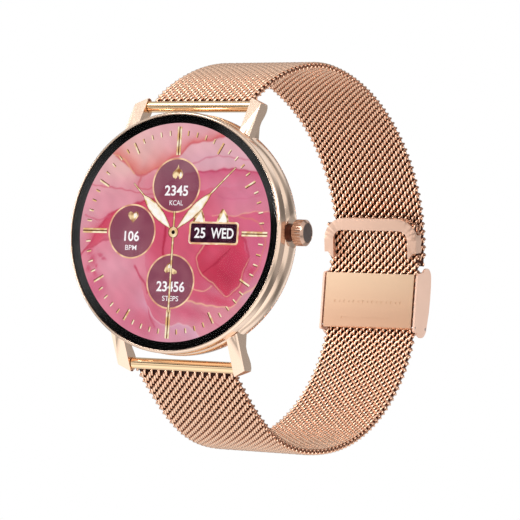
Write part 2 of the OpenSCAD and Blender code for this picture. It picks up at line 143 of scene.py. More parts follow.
class Finish:
    """A procedural material being put together."""

    def __init__(self, name, owner=None):
        self.material = owner or bpy.data.materials.new(name)
        self.material.use_nodes = True
        self.tree = self.material.node_tree
        self.tree.nodes.clear()

    def node(self, kind, settings=None, inputs=None, out=0):
        node = self.tree.nodes.new("ShaderNode" + kind)
        for key, value in (settings or {}).items():
            setattr(node, key, value)
        for key, value in (inputs or {}).items():
            if isinstance(value, Strand):
                self.tree.links.new(value.socket, node.inputs[key])
            else:
                node.inputs[key].default_value = value
        return Strand(self, node.outputs[out])

    def mix(self, factor, low, high, how="MIX"):
        """Blends two colours."""
        return self.node("Mix", {"data_type": "RGBA", "blend_type": how},
                         {0: factor, 6: low, 7: high}, out=2)

    def place(self, scale=1.0, out="Object"):
        """The point on the object in its own space, stretched."""
        point = self.node("TexCoord", out=out)
        stretch = scale if isinstance(scale, tuple) else (scale,) * 3
        return self.node("Mapping", {}, {"Vector": point, "Scale": stretch})

    def axes(self, vector):
        split = self.tree.nodes.new("ShaderNodeSeparateXYZ")
        self.tree.links.new(vector.socket, split.inputs[0])
        return [Strand(self, socket) for socket in split.outputs]

    def noise(self, scale, detail=3.0, rough=0.5, stretch=1.0):
        return self.node("TexNoise", {}, {
            "Vector": self.place(stretch), "Scale": scale, "Detail": detail, "Roughness": rough})

    def bump(self, height, strength, distance):
        return self.node("Bump", {}, {"Height": height, "Strength": strength, "Distance": distance})

    def end(self, shader, kind="OutputMaterial"):
        output = self.tree.nodes.new("ShaderNode" + kind)
        self.tree.links.new(shader.socket, output.inputs["Surface"])
        return self.material

    def surface(self, **sockets):
        """Ends the material in a Principled surface."""
        named = {key.replace("_", " "): value for key, value in sockets.items()}
        return self.end(self.node("BsdfPrincipled", {}, named))


def screen(red, green, blue):
    """A screen colour from 0 to 255 as linear light."""
    def linear(v):
        v /= 255
        return v / 12.92 if v <= 0.04045 else ((v + 0.055) / 1.055) ** 2.4
    return (linear(red), linear(green), linear(blue), 1.0)


def grey(value):
    return (value, value, value, 1.0)


# %% [markdown]
# ## Studio
#
# Polished metal shows the room more than itself. The world is a studio drawn
# with a formula: bright walls, a dark strip behind on the right that gives the
# case its brown streak, and softer shades below. The camera itself sees a plain
# white sweep and a pale floor, which take no part in the reflections.

# %% world as a studio
room = bpy.data.worlds.new("studio_room")
bpy.context.scene.world = room
bpy.context.scene.view_settings.view_transform = "Standard"
walls = Finish("studio_room", owner=room)
east, north, up = walls.axes(walls.place(out="Generated"))
turn = north.angle_of(east) * (180 / math.pi)
level = 1.0 - 0.60 * turn.band(60, 9, 12)
level = level * (1.0 - 0.40 * turn.band(140, 38, 16))
level = level * (1.0 - 0.55 * up.band(-0.36, 0.05, 0.08))
level = level + 0.25 * (0.0 - up).step(0.50, 0.70)
level = level * (1.0 - 0.55 * up.band(0.30, 0.07, 0.08))
level = level - 0.12 * up.step(0.55, 0.75)
walls.end(walls.node("Background", {}, {"Color": grey(1.0), "Strength": level}), "OutputWorld")
print("world drawn with", len(room.node_tree.nodes), "nodes")

# %% [markdown]
# The sweep and the floor are bright paper, three lamps add highlights, and a black
# flag stands where the glass would otherwise mirror a lamp.

# %% sweep, floor, lamps and a black flag
def flat_sheet(name, corners):
    mesh = bpy.data.meshes.new(name)
    mesh.from_pydata([tuple(c) for c in corners], [], [tuple(range(len(corners)))])
    sheet = bpy.data.objects.new(name, mesh)
    bpy.context.scene.collection.objects.link(sheet)
    return sheet


def only_seen_by_camera(thing):
    thing.visible_diffuse = False
    thing.visible_glossy = False
    thing.visible_transmission = False
    thing.visible_shadow = False


def glow_paper(name, low, high):
    paper = Finish(name)
    shade = paper.mix(paper.noise(6.0), low, high)
    return paper.surface(Base_Color=grey(0.0), Roughness=1.0, Specular_IOR_Level=0.0,
                         Emission_Color=shade, Emission_Strength=1.0)


def ball(name, radius, steps=24):
    """A round room of square faces."""
    points = []
    for i in range(steps + 1):
        tilt = math.pi * i / steps
        for j in range(2 * steps):
            way = math.pi * j / steps
            points.append((radius * math.sin(tilt) * math.cos(way),
                           radius * math.sin(tilt) * math.sin(way), radius * math.cos(tilt)))
    faces = [(i * 2 * steps + j, i * 2 * steps + (j + 1) % (2 * steps),
              (i + 1) * 2 * steps + (j + 1) % (2 * steps), (i + 1) * 2 * steps + j)
             for i in range(steps) for j in range(2 * steps)]
    mesh = bpy.data.meshes.new(name)
    mesh.from_pydata(points, [], faces)
    thing = bpy.data.objects.new(name, mesh)
    bpy.context.scene.collection.objects.link(thing)
    return thing


floor_z = cad_low.z - 0.022
floor = flat_sheet("studio_floor", [(x, y, floor_z) for x, y in ((-2, -2), (2, -2), (2, 2), (-2, 2))])
floor.data.materials.append(glow_paper("floor_paper", grey(1.0), grey(1.0)))
sweep = ball("studio_sweep", 3.5)
sweep.data.materials.append(glow_paper("sweep_paper", grey(1.0), grey(1.0)))
for sheet in (floor, sweep):
    only_seen_by_camera(sheet)


def lamp(name, place, aim, width, height, watts):
    data = bpy.data.lights.new(name, "AREA")
    data.shape = "RECTANGLE"
    data.size, data.size_y, data.energy = width, height, watts
    light = bpy.data.objects.new(name, data)
    light.location = place
    light.rotation_mode = "QUATERNION"
    light.rotation_quaternion = (Vector(aim) - Vector(place)).to_track_quat("-Z", "Y")
    light.visible_camera = False
    bpy.context.scene.collection.objects.link(light)


def black_flag(name, place, aim, width, height):
    """A dark card that only reflections see."""
    card = flat_sheet(name, [(-width / 2, -height / 2, 0), (width / 2, -height / 2, 0),
                             (width / 2, height / 2, 0), (-width / 2, height / 2, 0)])
    card.rotation_mode = "QUATERNION"
    card.location = place
    card.rotation_quaternion = (Vector(aim) - Vector(place)).to_track_quat("Z", "Y")
    card.visible_camera = False
    card.visible_diffuse = False
    card.visible_shadow = False
    felt = Finish(name + "_felt")
    fibre = felt.mix(felt.noise(400.0), grey(0.01), grey(0.02))
    card.data.materials.append(felt.surface(Base_Color=fibre, Roughness=1.0, Specular_IOR_Level=0.0))


lamp("key_lamp", (-0.25, -0.40, 0.45), (0, 0, 0), 0.2, 0.2, 1.4)
lamp("crown_lamp", (0.50, -0.20, 0.25), (0, 0.03, 0), 0.1, 0.2, 1.0)
lamp("inside_lamp", (-0.30, -0.10, 0.02), (0, 0.06, 0), 0.1, 0.2, 0.6)
DIAL = Vector((0, cad_low.y, 0))
mirror_way = Vector((-0.473, -0.879, 0.061))
black_flag("dial_flag", DIAL + 0.20 * mirror_way, DIAL, 0.050, 0.050)
print("studio is set, floor at", round(floor_z / MM, 1), "mm")

# %% [markdown]
# ## Finishes
#
# Each finish is a short function. Plated metal differs mostly in its tint and
# in how satin it is, so one function makes them all; a faint noise keeps the
# tint and the polish from being dead even.

# %% metals and plastics
def metal(name, tint, rough, shade=0.10, solid=1.0):
    """Plated metal. Solid below 1 lets some plain colour through."""
    skin = Finish(name)
    cloud = skin.noise(160.0, 3.0)
    darker = tuple(c * (1 - shade) for c in tint[:3]) + (1,)
    return skin.surface(Base_Color=skin.mix(cloud, darker, tint), Metallic=solid,
                        Roughness=rough + 0.06 * (cloud - 0.5))


def plastic(name, tint, rough, shade=0.15, spots=300.0):
    skin = Finish(name)
    cloud = skin.noise(spots, 4.0)
    darker = tuple(c * (1 - shade) for c in tint[:3]) + (1,)
    return skin.surface(Base_Color=skin.mix(cloud, darker, tint),
                        Roughness=rough + 0.1 * (cloud - 0.5))


def brushed_plate():
    """Satin rose plate with painted light: paler towards its upper edge, darker below."""
    skin = Finish("satin_plate")
    x, y, z = skin.axes(skin.place())
    brush = skin.noise(2600.0, 2.0, stretch=(0.04, 1.0, 1.0))
    # painted light and shade: the base colour runs from darker at the bottom to paler at the upper edge
    shade = skin.mix((z * 1000).step(-12.5, 0.5), screen(232, 184, 152), screen(250, 214, 180))
    return skin.surface(Base_Color=shade, Metallic=0.9, Roughness=0.34 + 0.06 * (brush - 0.5),
                        Normal=skin.bump(brush, 0.25, 0.00002))


def black_print():
    """Black ink under the glass, with a painted grey sheen glowing on the left and on the upper right."""
    skin = Finish("black_print")
    x, y, z = skin.axes(skin.place())
    way = z.angle_of(x) * (180 / math.pi)
    # painted sheen: a faint grey glow laid on the black where the border would show reflected light
    painted_sheen = way.size().step(118, 165) * (1.0 - (way + 180).band(0, 4, 8) * 0.2)
    painted_sheen = painted_sheen + 0.75 * way.band(38, 16, 18)
    painted_sheen = painted_sheen * (0.8 + 0.4 * skin.noise(90.0))
    return skin.surface(
        Base_Color=grey(0.002), Roughness=0.5, Specular_IOR_Level=0.0,
        Emission_Color=skin.mix(painted_sheen, grey(0.0005), grey(0.045)), Emission_Strength=1.0)


def clear_glass():
    """Light passes straight through but for a faint reflection."""
    skin = Finish("cover_glass")
    haze = 0.003 + 0.002 * skin.noise(40.0)
    clear = skin.node("BsdfTransparent")
    gloss = skin.node("BsdfGlossy", {}, {"Color": grey(1.0), "Roughness": 0.02})
    return skin.end(skin.node("MixShader", {}, {0: haze, 1: clear, 2: gloss}))


champagne = metal("champagne_metal", screen(252, 222, 198), 0.17)
copper = metal("copper_metal", screen(150, 84, 62), 0.25)
gold = metal("bright_gold", screen(255, 220, 176), 0.10)
rose = metal("rose_metal", screen(252, 210, 186), 0.32, solid=0.85)
satin = brushed_plate()
clasp_skin = metal("clasp_metal", screen(248, 208, 186), 0.42, solid=0.35)
crown_skin = metal("crown_metal", screen(206, 170, 150), 0.18)
steel = metal("steel", screen(190, 190, 192), 0.22)
print("metals:", [m.name for m in bpy.data.materials if m.name.endswith(("metal", "gold", "plate"))])

# %% [markdown]
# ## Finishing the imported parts
#
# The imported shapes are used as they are. A small bevel gives each sharp edge
# the rounding that catches light, and the split by angle keeps flat faces flat.

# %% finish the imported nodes
def dress(node, skin, soften=0.05):
    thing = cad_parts[node]
    thing.data.materials.clear()
    thing.data.materials.append(skin)
    if "custom_normal" in thing.data.attributes:
        thing.data.attributes.remove(thing.data.attributes["custom_normal"])
    thing.data.polygons.foreach_set("use_smooth", [True] * len(thing.data.polygons))
    weld = thing.modifiers.new("join corners", "WELD")
    weld.merge_threshold = 0.001 * MM
    if soften:
        bevel = thing.modifiers.new("soften edges", "BEVEL")
        bevel.width = soften * MM
        bevel.segments = 3
        bevel.limit_method = "ANGLE"
        bevel.angle_limit = math.radians(35)
        evened = thing.modifiers.new("even shading", "WEIGHTED_NORMAL")
        evened.keep_sharp = True
    split = thing.modifiers.new("keep faces flat", "EDGE_SPLIT")
    split.split_angle = math.radians(34)


dress("cover_glass", clear_glass(), 0)
dress("glass_border", black_print(), 0)
dress("glass_seal", plastic("seal_rubber", grey(0.02), 0.7), 0)
dress("bezel_ring", champagne, 0.05)
dress("accent_ring", copper, 0)
dress("mid_case", champagne, 0.08)
dress("case_back", plastic("back_plastic", screen(58, 54, 56), 0.35), 0.08)
dress("back_gasket", bpy.data.materials["seal_rubber"], 0)
dress("back_screws", steel, 0.03)
dress("sensor_window", plastic("dark_window", screen(18, 20, 24), 0.08), 0.03)
dress("sensor_module", plastic("board", screen(22, 74, 50), 0.5), 0)
dress("charging_pads", gold, 0.04)
dress("inner_frame", plastic("frame_plastic", screen(50, 50, 54), 0.5), 0)
dress("main_board", bpy.data.materials["board"], 0)
dress("board_chips", plastic("chip_plastic", screen(32, 32, 34), 0.4), 0.05)
dress("display_flex", plastic("flex", screen(158, 100, 44), 0.4), 0)
dress("battery", plastic("battery_foil", screen(168, 172, 178), 0.3), 0.3)
dress("vibration_motor", steel, 0.1)
dress("crown_cap", crown_skin, 0.04)
dress("crown_end_disc", plastic("dark_disc", screen(70, 56, 52), 0.2), 0.03)
dress("crown_stem", steel, 0)
dress("crown_tube", metal("dark_copper", screen(92, 56, 46), 0.35), 0)
dress("crown_o_ring", bpy.data.materials["seal_rubber"], 0)
dress("crown_switch", plastic("switch_plastic", screen(200, 198, 190), 0.4), 0.05)
for side in ("top", "bottom"):
    dress("spring_bar_" + side, steel, 0)
    dress("strap_tube_" + side, gold, 0.06)
dress("tail_tip", rose, 0.14)
dress("strap_tongue", rose, 0)
dress("latch_bar", gold, 0)
dress("clasp_base", clasp_skin, 0.12)
dress("clasp_lock_plate", satin, 0)
dress("lock_plate_pin", steel, 0)
dress("clasp_cover", rose, 0.12)
dress("clasp_cover_pin", steel, 0)
print("dressed", sum(bool(thing.data.materials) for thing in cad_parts.values()), "packed nodes")

# %% [markdown]
# ## The band's curve
#
# Each half of the band follows smooth cubic curves in the side view. The curve
# is walked at an even pace, so a wire can be placed by its distance along it.

# %% band curves
class Track:
    """A side-view curve of points (y, z) in millimetres, walked by distance."""

    def __init__(self, *spans):
        points = []
        for start, leave, arrive, finish_point in spans:
            p, a, b, q = (np.array(v, float) for v in (start, leave, arrive, finish_point))
            t = np.linspace(0, 1, 400)[:, None]
            points.append((1 - t) ** 3 * p + 3 * (1 - t) ** 2 * t * (p + a)
                          + 3 * (1 - t) * t ** 2 * (q - b) + t ** 3 * q)
        path = np.vstack(points)
        keep = np.r_[True, np.linalg.norm(np.diff(path, axis=0), axis=1) > 1e-6]
        self.path = path[keep]
        gaps = np.linalg.norm(np.diff(self.path, axis=0), axis=1)
        self.run = np.r_[0, np.cumsum(gaps)]
        self.length = self.run[-1]

    def at(self, distance, out):
        """The point that far along and that far out from the curve."""
        def place(s):
            return np.stack([np.interp(s, self.run, self.path[:, k]) for k in (0, 1)], -1)
        ahead = (place(np.clip(distance + 0.2, 0, self.length))
                 - place(np.clip(distance - 0.2, 0, self.length)))
        ahead /= np.linalg.norm(ahead, axis=-1, keepdims=True)
        aside = np.stack([-ahead[..., 1], ahead[..., 0]], -1)
        past = (distance - np.clip(distance, 0, self.length))[..., None]
        return place(distance) + past * ahead + np.asarray(out)[..., None] * aside


def middle_of(node):
    low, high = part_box(node)
    return (low + high) / 2 / MM


def heading(degrees, size):
    """An arrow in the side view, turned from straight up towards the back."""
    return (size * math.sin(math.radians(degrees)), size * math.cos(math.radians(degrees)))


TILT = 1.5
CLASP = (66.4, -6.0)
HALF_BAND = 0.70


def clasp_point(u, v):
    """A point u up along the clasp and v out from its inner plate, as (y, z)."""
    across, along = heading(TILT, 1.0)
    return (CLASP[0] + v * along + u * across, CLASP[1] - v * across + u * along)


top_bar, bottom_bar = middle_of("strap_tube_top"), middle_of("strap_tube_bottom")
over = (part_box("strap_tube_top")[1].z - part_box("strap_tube_top")[0].z) / 2 / MM - HALF_BAND
up_wide, low_wide = (26.0, 33.1), (27.6, -35.5)
up_end = clasp_point(6.0, 4.2)
low_in, low_out = clasp_point(-6.6, 1.05 + HALF_BAND), clasp_point(6.5, 1.05 + HALF_BAND)
low_end = (low_out[0] - 2.2, low_out[1] + 8.6)
drop = 0.575 * (up_wide[1] - up_end[1]) / math.hypot(0.03, 1)
upper = Track(
    ((top_bar.y, top_bar.z + over), heading(50, 9.2), (9.9, 0), up_wide),
    (up_wide, (0.53 * (up_end[0] - up_wide[0]), 0), (-0.03 * drop, -drop), up_end))
lower = Track(
    ((bottom_bar.y, bottom_bar.z - over), heading(90 + 38, 13),
     (0.461 * (low_wide[0] - bottom_bar.y), 0), low_wide),
    (low_wide, (0.66 * (low_in[0] - low_wide[0]), 0), heading(TILT + 9, 8), low_in),
    (low_in, heading(TILT, 4.3), heading(TILT, 4.3), low_out),
    (low_out, heading(TILT, 3), (-0.54, 3), low_end))
print("band halves in mm:", round(upper.length, 1), round(lower.length, 1))

# %% [markdown]
# ## Weaving the band
#
# The band is a mesh of flattened wire coils that run from edge to edge. Each
# coil hooks through the next one and starts half a turn later, which makes the
# slanting rows of short strokes. A dark strip in the middle is painted shade
# that shows through the gaps between the wires.

# %% weave
COIL_GAP = 0.757
TURN = 1.42
WIRE = 0.24
REACH = 0.80
RISE = 0.46
HALF_WIDTH = middle_of("upper_mesh").x + (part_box("upper_mesh")[1].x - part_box("upper_mesh")[0].x) / 2 / MM


def add_piece(name, points, faces, skin, body, slot, smooth=True):
    """Makes a mesh piece from points in millimetres and lets it ride on a body."""
    mesh = bpy.data.meshes.new(name)
    mesh.from_pydata(np.asarray(points) * MM, [], faces)
    mesh.polygons.foreach_set("use_smooth", [smooth] * len(mesh.polygons))
    mesh.materials.append(skin)
    mesh.validate()
    thing = bpy.data.objects.new(name, mesh)
    bpy.context.scene.collection.objects.link(thing)
    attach(thing, body)
    return thing


def wire_tube(line, radius, sides, points, faces):
    """Adds a round wire along a line of points, closed at both ends."""
    ahead = np.gradient(line, axis=0)
    ahead /= np.linalg.norm(ahead, axis=1, keepdims=True)
    across = np.cross(ahead, (1.0, 0.0, 0.0))
    across /= np.linalg.norm(across, axis=1, keepdims=True)
    upright = np.cross(across, ahead)
    way = np.arange(sides) * 2 * math.pi / sides
    rings = (line[:, None] + radius * (np.cos(way)[None, :, None] * across[:, None]
                                       + np.sin(way)[None, :, None] * upright[:, None]))
    first = sum(len(p) for p in points)
    points.append(rings.reshape(-1, 3))
    for i in range(len(line) - 1):
        a, b = first + i * sides, first + (i + 1) * sides
        faces.extend((a + j, a + (j + 1) % sides, b + (j + 1) % sides, b + j) for j in range(sides))
    last = first + (len(line) - 1) * sides
    faces.append(tuple(first + j for j in range(sides))[::-1])
    faces.append(tuple(last + j for j in range(sides)))


def weave(track, start, stop):
    """All the coils of one half of the band."""
    points, faces, painted_shade_lift = [], [], []
    width = HALF_WIDTH - WIRE
    coils = int((stop - start) / COIL_GAP)
    for i in range(coils + 1):
        x = np.linspace(-width, width, int(2 * width / TURN * 9) + 1)
        angle = -2 * math.pi * x / TURN + math.pi * (i % 2)
        along = start + i * COIL_GAP + REACH * np.cos(angle)
        side = track.at(along, RISE * np.sin(angle))
        wire_tube(np.column_stack([x, side]), WIRE, 5, points, faces)
        # how far the wire stands out: low values get painted shade where it dives into the weave, high ones
        # a painted highlight
        painted_shade_lift.append(np.repeat(np.abs(np.sin(angle)), 5))
    return np.vstack(points), faces, np.concatenate(painted_shade_lift)


def core(track, start, stop):
    """A thin dark strip in the middle of the weave: painted shade that shows through the gaps."""
    s = np.linspace(start, stop, 160)
    outer, inner = track.at(s, 0.10), track.at(s, -0.10)
    width = HALF_WIDTH - 0.45
    rows = [np.column_stack([np.full(len(s), x), side])
            for x, side in ((-width, outer), (width, outer), (width, inner), (-width, inner))]
    points = np.stack(rows, 1).reshape(-1, 3)
    faces = [(4 * i + j, 4 * i + (j + 1) % 4, 4 * i + 4 + (j + 1) % 4, 4 * i + 4 + j)
             for i in range(len(s) - 1) for j in range(4)]
    faces += [(3, 2, 1, 0), tuple(4 * len(s) - 4 + j for j in range(4))]
    return points, faces


# painted shade and highlight: each wire is dark brown where it dives into the weave and pale cream at its
# crown
wire = Finish("rose_mesh")
height = wire.axes(wire.node("VertexColor", {"layer_name": "painted_shade_lift"}))[0]
bright = wire.mix(wire.noise(700.0), screen(250, 200, 168), screen(255, 218, 190))
rose_wire = wire.surface(Base_Color=wire.mix(height.step(0.15, 0.85), screen(140, 84, 62), bright),
                         Metallic=1.0, Roughness=0.20 + 0.05 * wire.noise(900.0))
# painted shade: a dark sheet inside the weave, seen through the gaps between the wires
painted_shade_skin = metal("woven_core", screen(66, 32, 22), 0.6, solid=0.6)
for node, body, track, start, stop in (
        ("upper_mesh", "upper_band", upper, 1.5, upper.length - 1.5),
        ("lower_mesh", "lower_band", lower, 1.5, lower.length - 0.9)):
    points, faces, painted_shade_lift = weave(track, start, stop)
    coils = add_piece(node.replace("mesh", "weave"), points, faces, rose_wire, body, "rose_mesh")
    layer = coils.data.color_attributes.new("painted_shade_lift", "FLOAT_COLOR", "POINT")
    layer.data.foreach_set("color", np.column_stack([painted_shade_lift, painted_shade_lift, painted_shade_lift, np.ones(len(painted_shade_lift))]).ravel())
    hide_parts(node)
    add_piece(node.replace("mesh", "core"), *core(track, start - 0.4, stop + 0.3),
              painted_shade_skin, body, "rose_mesh")
    print(coils.name, "has", len(coils.data.polygons), "faces")
# %% [markdown]
# ## The lit picture
#
# The picture behind the glass is ink spreading in water: pale pinks, stronger
# pools and thin gold-edged veins. It is painted point by point on a round grid.
# Each vein is a smooth line, and a stroke may tint only one side of its line.
# The colours are stored in the mesh and shown as light.

# %% the painter
class Painter:
    """Paints tints on points of the picture, in millimetres from its middle."""

    def __init__(self, x, z, base):
        sway = [0.14 * np.sin(1.3 * z + 0.7 * x + k) + 0.08 * np.sin(2.9 * x - 1.7 * z + 2 * k)
                + 0.02 * np.sin(6.1 * z + 4.3 * x + 3 * k) for k in (0.4, 2.1)]
        self.x, self.z = x + sway[0], z + sway[1]
        self.tint = np.tile(np.array(base, float), (len(x), 1))

    def lay(self, amount, tint):
        self.tint += np.clip(amount, 0, 1)[:, None] * (np.array(tint, float) - self.tint)

    def near(self, knots):
        """Distance to a smooth line through the knots, and the side (+1 is left)."""
        knots = np.array(knots, float)
        ends = np.vstack([2 * knots[0] - knots[1], knots, 2 * knots[-1] - knots[-2]])
        t = np.arange(6)[:, None] / 6
        bits = [0.5 * (2 * b + (c - a) * t + (2 * a - 5 * b + 4 * c - d) * t ** 2
                       + (3 * b - a - 3 * c + d) * t ** 3)
                for a, b, c, d in zip(ends, ends[1:], ends[2:], ends[3:])]
        line = np.vstack(bits + [knots[-1:]])
        best = np.full(len(self.x), 1e9)
        side = np.ones(len(self.x))
        for (ax, az), (bx, bz) in zip(line, line[1:]):
            ux, uz = bx - ax, bz - az
            px, pz = self.x - ax, self.z - az
            along = np.clip((px * ux + pz * uz) / (ux * ux + uz * uz), 0, 1)
            gap = np.hypot(px - along * ux, pz - along * uz)
            closer = gap < best
            best[closer] = gap[closer]
            side[closer] = np.sign(ux * pz - uz * px)[closer]
        return best, side

    def vein(self, knots, width, tint, strength=1.0):
        gap, side = self.near(knots)
        self.lay(strength * np.exp(-(gap / width) ** 2), tint)

    def wash(self, knots, reach, tint, strength, side_wanted):
        """A tint that is strongest at the line and fades away on one side."""
        gap, side = self.near(knots)
        self.lay(strength * np.exp(-gap / reach) * (side == side_wanted), tint)

    def pool(self, middle, size, tint, strength=1.0, lean=0.0, hard=2.0):
        """A soft oval of tint."""
        turn = math.radians(lean)
        px, pz = self.x - middle[0], self.z - middle[1]
        a = (px * math.cos(turn) + pz * math.sin(turn)) / size[0]
        b = (pz * math.cos(turn) - px * math.sin(turn)) / size[1]
        self.lay(strength * np.exp(-np.hypot(a, b) ** hard), tint)

    def inside(self, knots, tint, strength=1.0, soft=0.3):
        """Fills a closed shape with a soft edge."""
        knots = np.array(knots, float)
        gap, side = self.near(np.vstack([knots, knots[:1]]))
        hit = np.zeros(len(self.x), bool)
        for (ax, az), (bx, bz) in zip(knots, np.roll(knots, -1, axis=0)):
            cross = (az > self.z) != (bz > self.z)
            hit ^= cross & (self.x < ax + (self.z - az) * (bx - ax) / (bz - az + 1e-9))
        deep = np.where(hit, gap, -gap)
        self.lay(strength * np.clip(0.5 + deep / (2 * soft), 0, 1), tint)


PALE = (230, 180, 186)
PEACH = (234, 190, 184)
PINK = (217, 124, 144)
LILAC = (220, 168, 182)
ROSE = (211, 92, 118)
CRIMSON = (203, 56, 84)
DEEP = (172, 30, 62)
THREAD = (214, 130, 110)
GILT = (238, 186, 150)


def paint_marble(art):
    """Lays the washes from the back of the picture to the front."""
    top_edge = [(-12.1, 12.7), (-9.2, 10.9), (-7.0, 9.4), (-3.8, 10.9), (-0.4, 12.7), (2.7, 14.8), (9, 16.2)]
    strong_edge = [(-2.5, 7.2), (-0.3, 9.0), (4, 10.1), (8.7, 10.6), (13.6, 10.4), (18, 9.8)]
    left_vein = [(-17.5, 8.0), (-12.9, 7.5), (-6.9, 6.4), (-2.9, 6.6), (0, 7.4)]
    band_top = [(-18, -4.5), (-15.6, -1.3), (-13.4, 2.2), (-10.2, 3.9), (-5.8, 5.2), (-2, 6.4), (3, 7.0)]
    band_low = [(-18, -4.2), (-14.3, -1.9), (-10, -1.2), (-6.5, -2.5), (-5, -5.5), (-4.2, -10)]
    cell = [(6.2, -2.1), (4.6, -4.2), (5.9, -6.8), (8.4, -8.4), (11.2, -10.4), (13.2, -8.2),
            (14.5, -4.0), (13.4, -0.8), (10, -1.2)]
    right_edge = [(7.2, 2.8), (10.8, 3.0), (14.6, 3.5), (18.4, 3.8)]
    contour = [(3.4, -11.2), (8.2, -12.2), (12.3, -11.8), (14.8, -9.3), (18.4, -7.2)]
    low_edge = [(-4.0, -12.4), (-2.8, -14.6), (-0.4, -15.6), (2.4, -15.2), (5.1, -16.2), (7.4, -18.4)]
    art.pool((-9, 13), (9, 7), PEACH, 0.9, 30)
    art.pool((6, 15), (11, 4), PALE, 0.8, -10)
    art.pool((-13, 5.5), (6, 3), (222, 146, 162), 0.8)
    art.pool((-5, 8.3), (4.5, 2.2), (216, 124, 142), 0.8, 10)
    art.pool((9, 12.2), (8, 1.6), LILAC, 0.8, 2)
    # saturated pink under the strong edge, paler to the right
    art.wash(strong_edge, 9.0, PINK, 1.0, -1)
    art.wash(strong_edge, 2.2, (206, 90, 124), 0.9, -1)
    art.pool((11, 6.4), (7, 2.4), (213, 128, 158), 0.7, 4)
    art.pool((3, 4.5), (5, 3), ROSE, 0.7)
    # crimson band from the left rim to the middle
    art.wash(band_top, 5.0, ROSE, 1.0, -1)
    art.wash(band_top, 1.8, CRIMSON, 0.75, -1)
    art.pool((-14.5, -0.6), (3.2, 1.8), CRIMSON, 0.8, 48)
    art.pool((-3, -1), (3.5, 5), (208, 66, 100), 0.9, 12)
    art.pool((-1, 3), (3.5, 3), (206, 62, 98), 0.9)
    art.pool((3.5, -1.8), (5.5, 4.5), (208, 78, 102), 0.9)
    art.pool((-2.2, -4.5), (2.2, 4.0), (200, 66, 92), 0.7, 10)
    art.pool((4.6, -7.6), (3.4, 3.4), (208, 74, 104), 0.9)
    art.pool((0, -9), (6, 5), (200, 78, 108), 0.7)
    # pale field lower left
    art.wash(band_low, 9.0, (222, 132, 150), 1.0, -1)
    art.pool((-10.5, -6.2), (5.8, 4.2), (226, 160, 176), 0.9, -10)
    art.pool((-7.5, -12.4), (5.5, 4.5), (216, 118, 138), 0.8, 30)
    art.pool((-6.5, -15.4), (6, 2.2), (214, 106, 136), 0.7, -12)
    art.pool((-14.4, -9.4), (1.9, 2.6), (210, 100, 132), 0.8, 24, 4)
    art.pool((-2.6, -13.2), (1.7, 3.4), (206, 92, 122), 0.7, -12)
    # right side: pink field, cell of deep crimson, outer rim
    art.wash(right_edge, 8.0, (212, 92, 124), 0.9, -1)
    art.pool((8.5, -0.6), (5, 2.6), (210, 84, 114), 0.8)
    art.inside(cell, CRIMSON, 0.92, 0.25)
    art.pool((9.6, -6.6), (3.4, 2.0), DEEP, 0.6, -36)
    art.pool((12.0, -4.6), (2.0, 3.0), (196, 46, 84), 0.6, -12)
    art.pool((8, -3.2), (2.6, 1.4), (214, 84, 112), 0.7, 32)
    art.pool((15.8, -2), (1.7, 5), (208, 92, 128), 0.8)
    art.pool((9.5, -11.2), (5, 1.3), (205, 62, 92), 0.75, -8)
    art.pool((13.6, -9.6), (1.8, 1.4), (206, 78, 106), 0.8, 45)
    art.wash(contour, 3.2, (216, 140, 152), 1.0, -1)
    art.pool((15.6, -10.2), (2.2, 1.8), (214, 156, 178), 0.8, 40)
    art.pool((3.6, -13.2), (4.2, 1.5), (206, 88, 118), 0.8, -8)
    art.wash(low_edge, 3.0, (214, 160, 182), 1.0, -1)
    art.pool((-4.6, -15.2), (3.4, 2.4), (210, 104, 128), 0.9, -20)
    # rim speckles low on the left
    for x, z, r in ((-16.2, -3.6, 0.6), (-15.4, -5.0, 0.8), (-16.3, -6.4, 0.6), (-14.2, -4.2, 0.5),
                    (-15.0, -7.2, 0.5), (-13.4, -4.9, 0.4), (-14.6, -6.0, 0.4)):
        art.pool((x, z), (r, 0.7 * r), (198, 62, 96), 0.65, 40 * x)
    art.pool((15.2, -6.2), (1.2, 0.9), (196, 60, 94), 0.8, 60)
